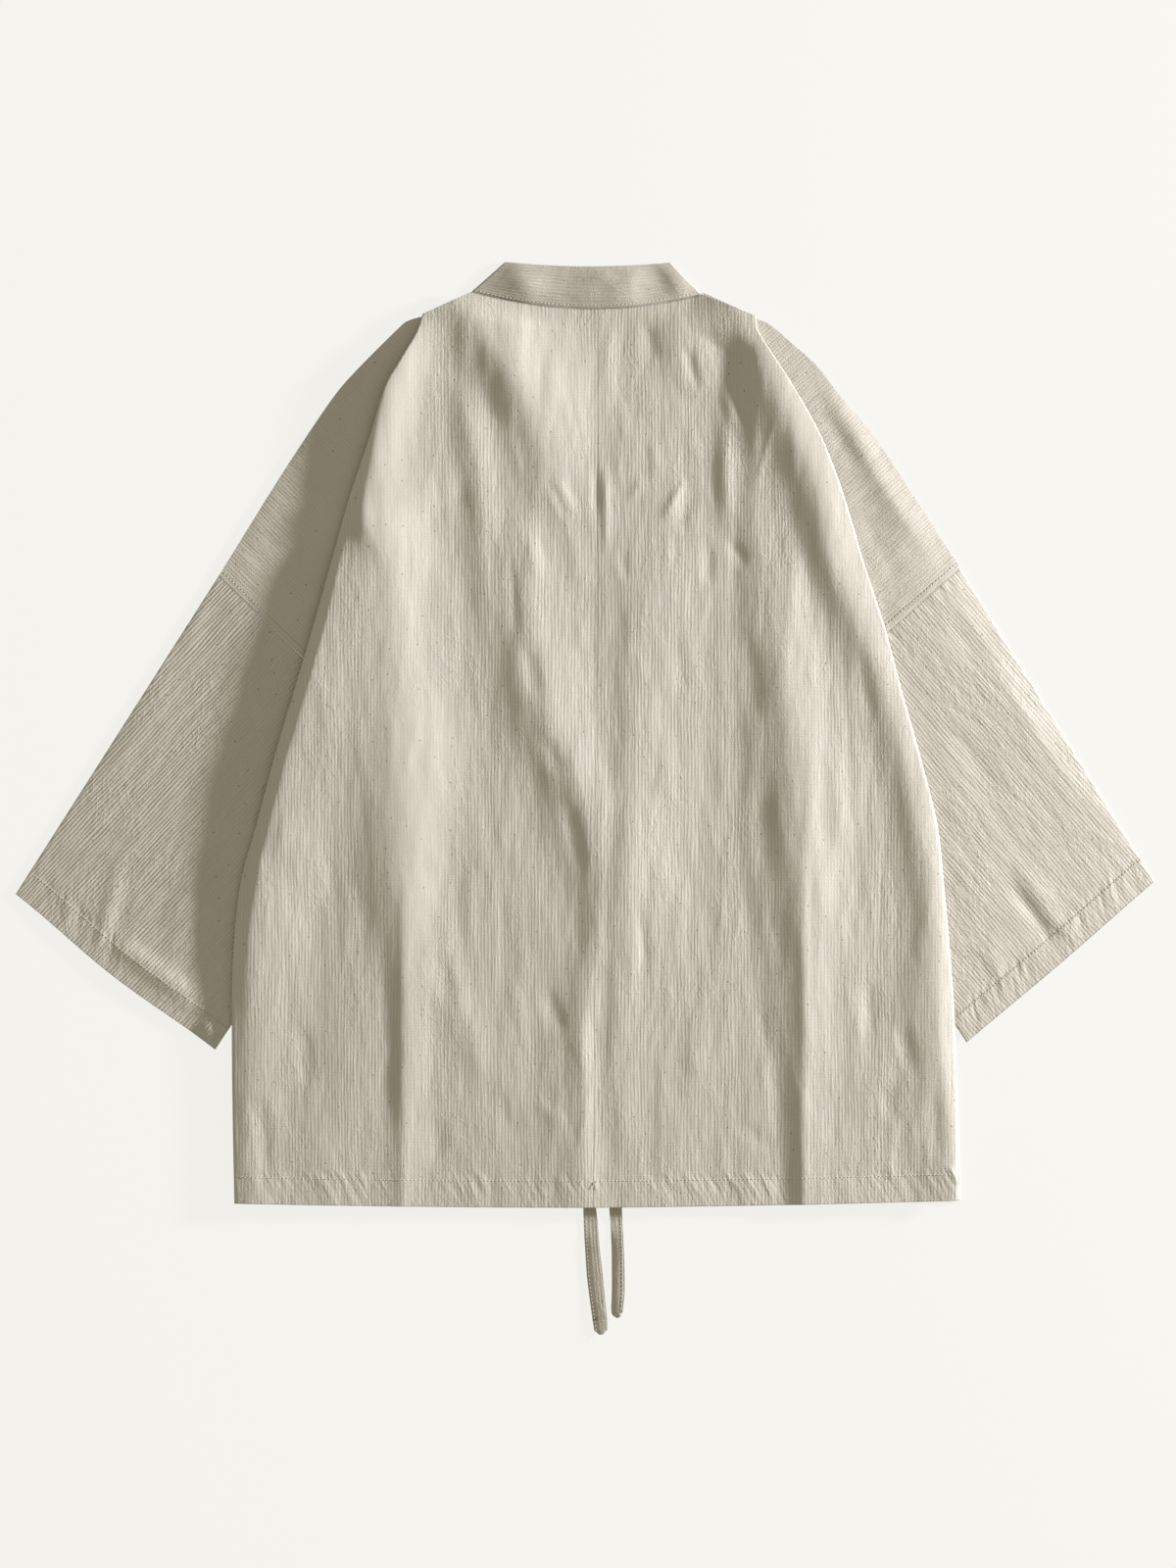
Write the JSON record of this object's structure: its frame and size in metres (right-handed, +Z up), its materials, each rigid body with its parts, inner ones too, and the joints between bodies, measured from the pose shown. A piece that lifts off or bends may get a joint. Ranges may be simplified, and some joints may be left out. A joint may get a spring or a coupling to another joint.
{
  "type": "kimono jacket laid flat",
  "caption": "Woven kimono-style jacket laid flat, back up, with wide lowered sleeves, dropped shoulders, a narrow collar band and two loose ties.",
  "frame": {"origin": "middle of the jacket's bounding box, on the surface that it lies on", "axes": "+Z up from the surface, +X to the wearer's right, +Y from the hem to the collar"},
  "size_m": [0.941, 0.8862, 0.0141],
  "materials": {
    "cloth": "matte slubbed cotton and linen with fine lengthwise ribs",
    "band": "the same cloth, pressed flat",
    "thread": "matte cotton sewing thread"
  },
  "bodies": {
    "root": {"back_left": "cloth", "back_right": "cloth", "front_left": "cloth", "front_right": "cloth", "sleeve_left": "cloth", "sleeve_right": "cloth", "collar_band": "band", "tie_left": "band", "tie_right": "band"}
  },
  "joints": []
}
